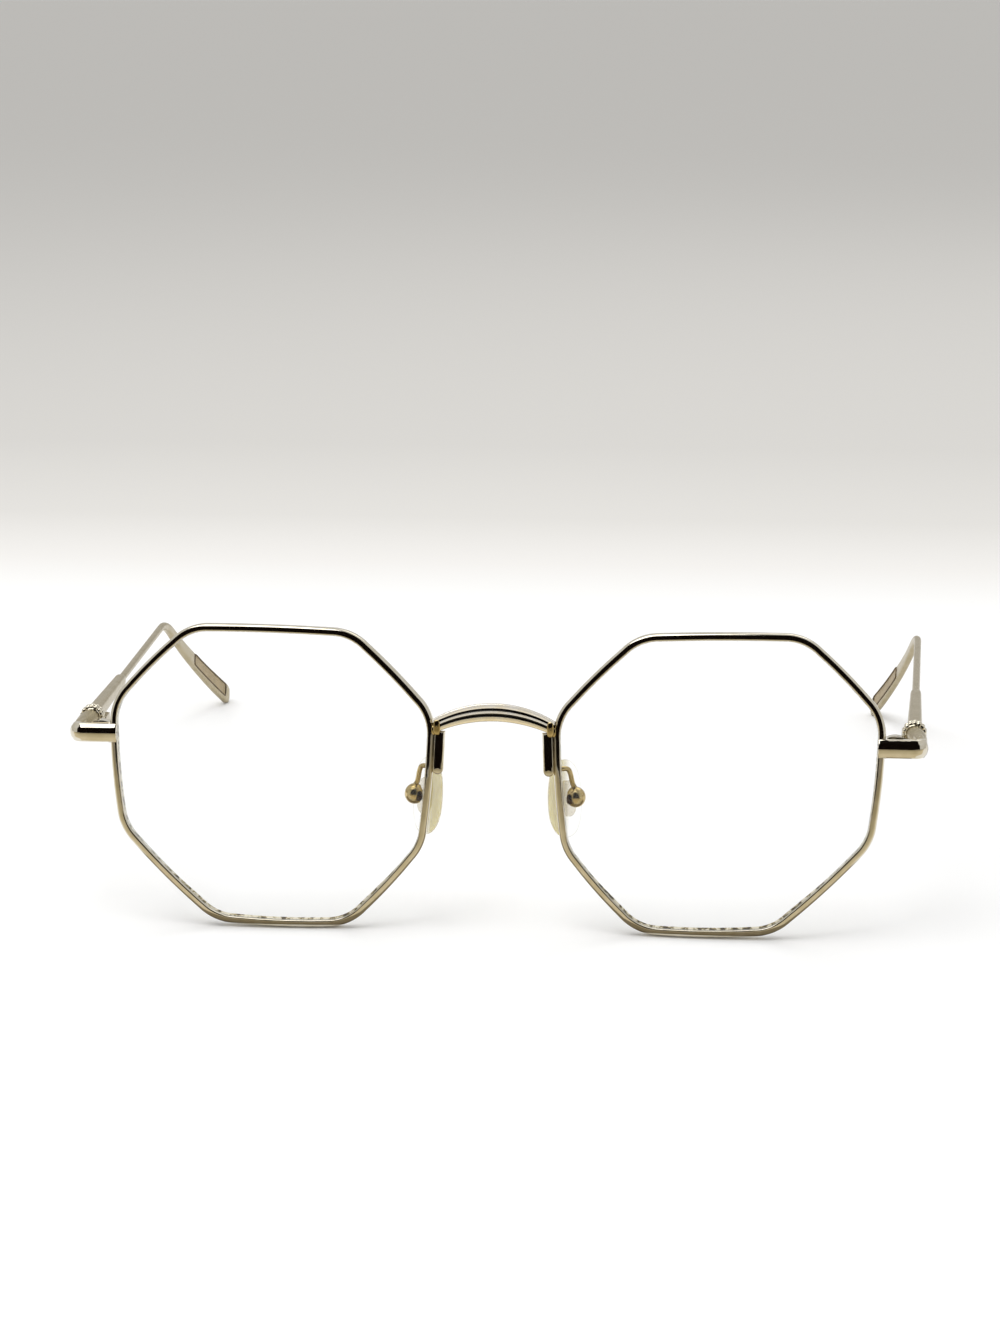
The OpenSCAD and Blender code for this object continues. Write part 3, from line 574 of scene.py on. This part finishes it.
def pad_legs():
    """A flat bar with a half-round lower end and sloping edges, set between its two end points:
    the same outline at several depths, each with its own half width."""
    shoulder = 0.46
    half_widths = ((0, 0.6), (0.05, 0.68), (0.26, 0.84), (0.4, 0.87), (LEG_T - 0.2, 0.87),
                   (LEG_T, 0.7))
    top, low = (np.array([leg_x(z), leg_y(z), z]) for z in (LEG_TOP, LEG_BOTTOM))
    run = top - low
    length = np.linalg.norm(run)
    end = np.linspace(math.pi, 2 * math.pi, 17)
    rings = []
    for depth, half in half_widths:
        upper = length - shoulder + half
        outline = np.vstack([np.stack([half * np.cos(end), half * np.sin(end)], 1),
                             [[half, upper], [-half, upper]]])
        rings.append(np.column_stack([outline[:, 0], np.full(len(outline), depth),
                                      outline[:, 1]]))
    rings = np.stack(rings)
    along_run = (turning("Y", math.degrees(math.atan2(run[0], run[2])))
                 @ turning("X", math.degrees(math.asin(-run[1] / length))))
    points, faces = skin((rings.reshape(-1, 3) @ along_run.T + low).reshape(rings.shape))
    both_sides("pad_leg_bar", place(points, FRONT), faces, "front", POLISHED,
               ["pad_leg"])


def pad_wires():
    """The pad arm's round wire: from behind the leg round to the pad box, a Catmull-Rom spline
    through points set out from both, (2b + (c-a)k + (2a-5b+4c-d)k^2 + (3b-a-3c+d)k^3) / 2."""
    foot, wire_r = 3.2, 0.4
    x = leg_x(foot)
    start = np.array([x, leg_y(foot) + LEG_T + 0.06, foot])
    behind = leg_y(foot) + 0.1 + RIM_D + 0.5 + 0.2
    across = BOX_AT[0] - x
    p = np.array([
        [x + 0.25, 2 * start[1] - behind, foot - 0.6],
        start,
        [x + 0.25, behind, foot - 0.4],
        [x + across * 0.46, behind + 0.1, foot - 0.35],
        [x + across * 0.74, behind + (BOX_AT[1] - behind) * 0.5, foot - 0.7],
        BOX_AT + [-0.5, -0.12, 2.2],
        BOX_AT + [0, 0, 1.15],
        BOX_AT])
    spans = len(p) - 3
    u = np.linspace(0, spans, 90)
    i = np.minimum(np.floor(u).astype(int), spans - 1)
    k = (u - i)[:, None]
    a, b, c, d = (p[i + n] for n in range(4))
    line = (2 * b + (c - a) * k + (2 * a - 5 * b + 4 * c - d) * k ** 2
            + (3 * b - a - 3 * c + d) * k ** 3) / 2
    rings = tube(line, unit(np.gradient(line, axis=0)), [0, 1, 1], wire_r, 24)
    points, faces = skin(rings)
    both_sides("pad_arm_wire", place(points, FRONT), faces, "front", FITTING,
               ["pad_wire"])


def pad_box_caps():
    """The polished front of each pad box: an arc about the ball's centre turned round the box's
    axis to just past its equator, and back along a smaller arc inside, a hair wider one way."""
    outer, inner, oval = 1.62, 1.38, 1.04
    turn = np.linspace(0.02, 1.95, 30)
    arc = np.stack([outer * np.sin(turn), -outer * np.cos(turn)], 1)
    inside = np.stack([inner * np.sin(turn[::-1]), -inner * np.cos(turn[::-1])], 1)
    profile = np.vstack([arc, inside])[:, None]
    a = full_turn(48)
    rings = np.stack([profile[..., 0] * np.cos(a), profile[..., 1] + 0 * a,
                      oval * profile[..., 0] * np.sin(a)], -1)
    points, faces = skin(rings)
    both_sides("pad_box_cap", place(points, PAD), faces, "front", FITTING)


def pad_box_painted_shades():
    """Painted shade in the mouth of each pad box, beside the rim, where the pad's post goes in: a
    dark lump.
    """
    front_lump("pad_box_painted_shade", BOX_AT + [-0.8, -1.12, -0.2], [0.6, 0.42, 0.85], 20, 0.8, MOUTH_SHADE)


def nose_pads():
    """Each pad: the D outline, a superellipse of the power 2.3 skewed to one side, shrunk in
    steps over the dome's depth."""
    power, skew, on_box = 2.3, 0.14, [1.0, 2.15, -0.4]
    depth = PAD_DEEP * np.array(
        [0, 0.02, 0.08, 0.16, 0.26, 0.36, 0.46, 0.56, 0.66, 0.76, 0.86, 0.93, 0.98, 1])
    scale = np.array(
        [0.86, 0.91, 0.96, 0.985, 1, 0.995, 0.975, 0.94, 0.885, 0.8, 0.67, 0.52, 0.33, 0.1])
    a = full_turn(96)
    c, s = np.cos(a), np.sin(a)
    r = (np.abs(c) ** power + np.abs(s) ** power) ** (-1 / power)
    x = PAD_WIDE / 2 * r * c * (1 - skew * s * np.where(c < 0, 1, -0.6))
    z = PAD_HIGH / 2 * r * s
    rings = np.stack([scale[:, None] * x, depth[:, None] + 0 * x, scale[:, None] * z], -1)
    points, faces = skin(rings + on_box)
    both_sides("silicone_pad", place(points, PAD), faces, "nose_pad_{}", SILICONE,
               ["nose_pad"])


# -------------------------------------------------- end pieces and collars

def end_pieces():
    """Polished bar and elbow: a domed section runs out from the rim, thinner where its lip lies
    on the wire, and turns a quarter round the elbow. The satin arm starts as that section and
    eases into a circle at the collar."""
    count, dome_r, lip_t = 64, 2, 0.66
    h, front = END_H / 2, ELBOW_IN + BAR_T
    middle = ELBOW_IN + BAR_T / 2
    bulge = np.linspace(-1, 1, 13)
    domed = np.stack([front - dome_r + np.sqrt(dome_r ** 2 - (h * bulge) ** 2), h * bulge], 1)
    outline = rounded(np.vstack([domed[[0]], domed[3:10:3], domed[[-1]],
                                 [[ELBOW_IN, h], [ELBOW_IN, -h]]]),
                      [0.3, 0.9, 1.2, 0.9, 0.3, 0.28, 0.28], 5)
    section = resampled(outline, count)
    lipped = section.copy()
    lipped[:, 0] = np.maximum(lipped[:, 0], front - lip_t)
    tip = RIM_SIDE - RIM_W + 0.05
    lip = [(tip, 0.9), (tip + 0.06, 0.97), (tip + 0.2, 1), (BLOCK_IN - 0.05, 1)]
    bar = [(x, 1) for x in (BLOCK_IN, *np.linspace(BLOCK_IN + 0.3, ELBOW_X, 8))]
    rings = []
    for stretch, sec in ((lip, lipped), (bar, section)):
        for x, k in stretch:
            u = (sec[:, 0] - front + lip_t / 2) * k + front - lip_t / 2
            rings.append(np.column_stack([np.full(count, x), ELBOW_Y - u, sec[:, 1] * k + END_Z]))
    for a in np.linspace(0, math.pi / 2, 14)[1:]:
        rings.append(np.column_stack([ELBOW_X + section[:, 0] * math.sin(a),
                                      ELBOW_Y - section[:, 0] * math.cos(a),
                                      section[:, 1] + END_Z]))
    rings = [place(ring, FRONT) for ring in rings]
    points, faces = skin(np.array(rings))
    both_sides("end_piece_bar", points, faces, "front", POLISHED, ["end_piece"])

    start = place(np.array([ELBOW_X + middle, ELBOW_Y, END_Z]), FRONT)
    arm = HINGE_AT - start
    angle = np.arctan2(section[:, 1], section[:, 0] - middle)
    last = rings[-1]
    rings = [last - 0.03 * arm]
    for t in np.linspace(0.0, 0.862, 18):
        r = 1.42 + 0.06 * t
        circle = np.column_stack([r * np.cos(angle), 0 * angle, r * np.sin(angle)])
        k = smooth(t / 0.6)
        rings.append((start + arm * t + circle) * k + (last + arm * t) * (1 - k))
    points, faces = skin(np.array(rings))
    both_sides("hinge_arm", points, faces, "front", SATIN)


def collar(name, start, body, node_name):
    """A milled ring round the temple line: a tube 0.84 mm thick, drawn in at fourteen places by
    the fourth power of cos 7a, and the disc, 1 mm long, that it stands on."""
    middle_r, thick_r, draw = 1.56, 0.42, 0.26
    a = full_turn(144)[:, None]
    b = full_turn(20)[None]
    wide = thick_r * (1 - draw * np.cos(7 * a) ** 4)
    radius = middle_r + wide * np.cos(b)
    rings = np.stack([radius * np.cos(a), start + 0.5 + wide * np.sin(b), radius * np.sin(a)], -1)
    points, faces = skin(rings, closed=True)
    disc = np.array([[0.01, 0], [1.4, 0], [1.5, 0.1], [1.5, 0.9], [1.4, 1], [0.01, 1]])
    flat = np.stack([disc[:, :1] * np.cos(a.T), start + disc[:, 1:] + 0 * a.T,
                     disc[:, :1] * np.sin(a.T)], -1)
    more, sides = skin(flat)
    faces = faces + [f + len(points) for f in sides]
    both_sides(name, place(np.vstack([points, more]), TEMPLE), faces, body,
               POLISHED, [node_name])


# --------------------------------------------------------------- temples

def temple_line(s):
    """Centre line of a temple and its downward slope at the lengths s: straight, an arc of the
    bend's radius, straight again, and curved inwards by the power 1.5 of the share behind the
    bend."""
    a = np.clip((s - BEND_START) / BEND_R, 0, BEND_ANGLE)
    d = np.maximum(s - DROP_START, 0)
    y = np.minimum(s, BEND_START) + BEND_R * np.sin(a) + d * math.cos(BEND_ANGLE)
    z = -BEND_R * (1 - np.cos(a)) - d * math.sin(BEND_ANGLE)
    x = -INWARD * np.clip((s - BEND_START) / (TEMPLE_S - BEND_START), 0, 1) ** 1.5
    return np.stack([x, y, z], -1), a


def beside_line(s, x, z):
    """Points x across and z up from the temple's line at the lengths s, square to its slope."""
    line, slope = temple_line(s)
    return line + np.stack(np.broadcast_arrays(x, z * np.sin(slope), z * np.cos(slope)), -1)


def temple_fronts():
    """The wide front part: a soft box section that tapers to a shoulder and ends at the wire. The
    table's rows give a length behind the hinge, half the width and half the height."""
    table = np.array([
        [1.18, 0.95, 1.0], [1.3, 1.08, 1.12], [1.6, 1.18, 1.26], [2.4, 1.2, 1.3],
        [12, 1.12, 1.22], [24, 1.0, 1.08], [31.2, 0.93, 1.01], [31.9, 0.9, 0.98],
        [32.25, 0.86, 0.93], [32.6, 0.76, 0.82], [32.85, 0.68, 0.71], [33, 0.65, 0.65]])
    s = np.unique(np.concatenate([table[:, 0], np.linspace(2.4, 31.2, 24)]))
    w, h = (np.interp(s, table[:, 0], table[:, i])[:, None] for i in (1, 2))
    a, power = full_turn(72), 0.62
    rings = np.stack([w * signed_power(np.cos(a), power), s[:, None] + 0 * a,
                      h * signed_power(np.sin(a), power)], -1)
    points, faces = skin(rings)
    both_sides("temple_blade", place(points, TEMPLE), faces, "temple_{}", SATIN,
               ["temple_front"])


def temple_shafts():
    """Wire and tip in one skin: round wire to the bend, then a flat paddle whose height and
    squareness grow along the drop, with a shallow bare recess pressed into its inner face."""
    half, pressed = PADDLE_H / 2, 0.2
    s = np.unique(np.concatenate([
        np.linspace(TAPER_LEN, BEND_START, 20), np.linspace(BEND_START, DROP_START, 24),
        np.linspace(DROP_START, TEMPLE_S - 1.4, 70), RECESS_FROM + np.array([-0.25, 0.05]),
        RECESS_TO + np.array([-0.05, 0.2]),
        TEMPLE_S - np.array([1.1, 0.8, 0.55, 0.35, 0.2, 0.1, 0.03, 0])]))[:, None]
    w = np.interp(s, [BEND_START, DROP_START, TEMPLE_S - 1.2, TEMPLE_S - 0.4, TEMPLE_S],
                  [WIRE_R, 0.66, 0.66, 0.58, 0.3])
    h = np.interp(s, [BEND_START, DROP_START, TEMPLE_S - 8, TEMPLE_S - 1.4, TEMPLE_S - 0.6,
                      TEMPLE_S - 0.2, TEMPLE_S],
                  [WIRE_R, 1.05, PADDLE_H * 0.48, half, half - 0.25, half - 0.6, half - 1.1])
    square = 0.7 * smooth((s - BEND_START) / (DROP_START - BEND_START))
    a, power = full_turn(96), 0.45
    x = w * (np.cos(a) * (1 - square) + signed_power(np.cos(a), power) * square)
    z = h * (np.sin(a) * (1 - square) + signed_power(np.sin(a), power) * square)
    inner = (x < -0.3) & (z > -0.55 * h) & (z < 0.72 * h)
    x = x + pressed * ((s > RECESS_FROM) & (s < RECESS_TO) & inner)
    points, faces = skin(beside_line(s, x, z))
    both_sides("temple_shaft", place(points, TEMPLE), faces, "temple_{}", SATIN,
               ["temple_wire", "temple_tip"])


def recess_lines():
    """The brown line round each tip's bare recess: a thin tube along a rounded box in the inner
    face's own length and height."""
    box = resampled(rounded([[RECESS_FROM, -1], [RECESS_TO, -1.1], [RECESS_TO, 1.5],
                             [RECESS_FROM, 1.2]], 0.5, 6), 120)
    path = beside_line(box[:, 0], -0.66, box[:, 1])
    ahead = unit(np.roll(path, -1, 0) - np.roll(path, 1, 0))
    points, faces = skin(tube(path, ahead, [1, 0, 0], 0.13, 10), closed=True)
    both_sides("recess_line", place(points, TEMPLE), faces, "temple_{}", RECESS)


def recess_panels():
    """The bare floor of each tip's recess: a thin plate carried along the temple's line, its
    height growing from 2.1 to 2.5 mm."""
    s = np.linspace(RECESS_FROM + 0.2, RECESS_TO - 0.2, 30)
    grow = np.linspace(0, 1, 30)
    low, high = -0.95 - 0.1 * grow, 1.15 + 0.3 * grow
    rings = np.stack([beside_line(s, x, z) for x, z in
                      ((-0.62, low), (-0.62, high), (-0.4, high), (-0.4, low))], 1)
    points, faces = skin(rings)
    both_sides("recess_panel", place(points, TEMPLE), faces, "temple_{}", PANEL)


# ------------------------------------------------------------- assembly

rims()
lenses()
bridge()
bridge_caps()
pad_legs()
pad_wires()
pad_box_caps()
pad_box_painted_shades()
nose_pads()
end_pieces()
collar("front_ring", -1.15, "front", "front_collar")
collar("temple_ring", 0.15, "temple_{}", "temple_collar")
temple_fronts()
temple_shafts()
recess_lines()
recess_panels()

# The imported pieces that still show: a finish by slot, or by piece where it differs
SLOT_FINISH = {"gold_metal": POLISHED, "screw_steel": TURNED, "pad_insert": INSERT,
               "lens_clear": LENS, "silicone": SILICONE}
PIECE_FINISH = {"pad_box": FITTING, "hinge_front": SATIN, "hinge_temple": SATIN}
SLOT_OF = {part["node"]: part["material_slot"] for part in frame["record"]["subparts"]}
for name, part in frame["nodes"].items():
    part.data.materials.clear()
    part.data.materials.append(
        PIECE_FINISH.get(name.rsplit("_", 1)[0], SLOT_FINISH[SLOT_OF[name]]))


# ------------------------------------------------- table, light, camera

def stage_plane(name, across, near, far, material):
    """A flat stage piece in metres: its left and right X, and the (Y, Z) of both long edges."""
    (left, right), mesh = across, bpy.data.meshes.new(name)
    mesh.from_pydata([(left, *near), (right, *near), (right, *far), (left, *far)], [],
                     [(0, 1, 2, 3)])
    piece = bpy.data.objects.new(name, mesh)
    mesh.materials.append(material)
    bpy.context.scene.collection.objects.link(piece)
    return piece


def matt(name, rough, specular, code="#ffffff"):
    """A plain matt material, with its tree and shader."""
    material, tree, shader = new_material(name)
    shader.inputs["Base Color"].default_value = colour(code)
    shader.inputs["Roughness"].default_value = rough
    shader.inputs["Specular IOR Level"].default_value = specular
    return material, tree, shader


def paper(name, rough, specular, near, far, *tones):
    """Paper whose tone goes through a ramp's stops between the places near and far in Y."""
    material, tree, shader = matt(name, rough, specular)
    at = node(tree, "ShaderNodeTexCoord")
    axis = node(tree, "ShaderNodeSeparateXYZ", links={0: (at, "Object")})
    share = node(tree, "ShaderNodeMapRange", {"From Min": near, "From Max": far},
                 {"Value": (axis, "Y")})
    tone = ramp(tree, (share, 0), *tones)
    tree.links.new(tone.outputs[0], shader.inputs["Base Color"])
    return material


def table_sheet():
    """White paper that turns light grey behind the glasses, as a sweep does out of the light."""
    white = paper("paper_sweep", 0.9, 0.1, 0.15, 0.6, (0.0, "#fdfdfd"), (0.03, "#fafaf9"),
                  (0.12, "#efedea"), (0.25, "#e0deda"), (0.5, "#d7d5d1"))
    stage_plane("table", (-20, 20), (-20, 0), (20, 0), white)


def dark_room():
    """What the polished metal faces: the paper's front part, shaded away from the glasses, and
    past its edge an unlit room up to the lamps, the shade that the rims stand in, and a pale
    thing low down on either side. Only glossy rays see them."""
    paper_end, wall_foot, wall_top = -1.3, -1.4, 3.2
    pale, shade = "#a9a294", "#8f8570"
    shaded = paper("shaded_paper", 1.0, 0.0, -0.35, -0.08,
                   (0.0, "#a4997f"), (0.65, "#aea488"), (1.0, "#dfd4ba"))
    cards = (
        ("shaded_paper", shaded, (-2, 2), (paper_end, 0.0006), (-0.072, 0.0006)),
        ("room_wall", "#100906", (-1.8, 1.8), (wall_foot, 0.01), (-0.36, wall_top)),
        ("contact_shade", shade, (-0.068, 0.068), (-0.0718, 0.0007), (-0.05, 0.0007)),
        ("pale_right", pale, (0.5, 3), (paper_end, 0), (paper_end, 0.15)),
        ("pale_left", pale, (-3, -0.85), (paper_end, 0), (paper_end, 0.12)))
    for name, look, across, near, far in cards:
        material = matt(name, 1.0, 0.0, look)[0] if isinstance(look, str) else look
        card = stage_plane(name, across, near, far, material)
        card.visible_camera = card.visible_diffuse = card.visible_shadow = False
        card.visible_transmission = card.visible_volume_scatter = False


def surroundings():
    """White studio walls that fall to light grey near the horizon, by the ray's own height."""
    world = bpy.data.worlds.new("studio")
    bpy.context.scene.world = world
    world.use_nodes = True
    tree = world.node_tree
    tree.nodes.clear()
    at = node(tree, "ShaderNodeTexCoord")
    axis = node(tree, "ShaderNodeSeparateXYZ", links={0: (at, "Generated")})
    tone = ramp(tree, (axis, "Z"), (0.0, "#f1f0ec"), (0.3, "#f3f2ef"), (0.55, "#ffffff"))
    light = node(tree, "ShaderNodeBackground", {"Strength": 0.75}, {"Color": (tone, 0)})
    node(tree, "ShaderNodeOutputWorld", links={"Surface": (light, 0)})


def lamp(name, at, towards, size, power):
    """A soft square lamp that faces a point, in metres and watts."""
    data = bpy.data.lights.new(name, "AREA")
    data.shape, data.size, data.energy = "SQUARE", size, power
    made = bpy.data.objects.new(name, data)
    made.location = at
    made.rotation_euler = (Vector(towards) - Vector(at)).to_track_quat("-Z", "Y").to_euler()
    bpy.context.scene.collection.objects.link(made)


def camera():
    """The photograph's view: from 447 mm, 14.53 degrees up and 4.69 to the right, with the long
    lens and slight roll that fit the octagons' outlines and the temple tips."""
    yaw, up, roll = (math.radians(angle) for angle in (4.6907, 14.5266, -0.1139))
    distance, lens = 0.446925, 101.394
    target = Vector((0.7783, -60.4972, 42.2452)) / 1000
    away = Vector((math.sin(yaw) * math.cos(up), -math.cos(yaw) * math.cos(up), math.sin(up)))
    right = Vector((math.cos(yaw), math.sin(yaw), 0))
    top = away.cross(right)
    side = right * math.cos(roll) + top * math.sin(roll)
    data = bpy.data.cameras.new("camera")
    data.sensor_width, data.lens, data.sensor_fit = 36.0, lens, "HORIZONTAL"
    data.clip_start, data.clip_end = 0.01, 100
    made = bpy.data.objects.new("camera", data)
    made.matrix_world = Matrix.Translation(target + away * distance) @ Matrix(
        (side, away.cross(side), away)).transposed().to_4x4()
    bpy.context.scene.collection.objects.link(made)
    bpy.context.scene.camera = made


table_sheet()
dark_room()
surroundings()
lamp("overhead_softbox", (-0.25, -0.15, 0.9), (0, -0.03, 0.02), 0.6, 3.2)
lamp("rear_softbox", (0.3, 0.7, 0.8), (0, -0.05, 0.03), 0.5, 1.15)
camera()
bpy.context.scene.view_settings.view_transform = "Standard"
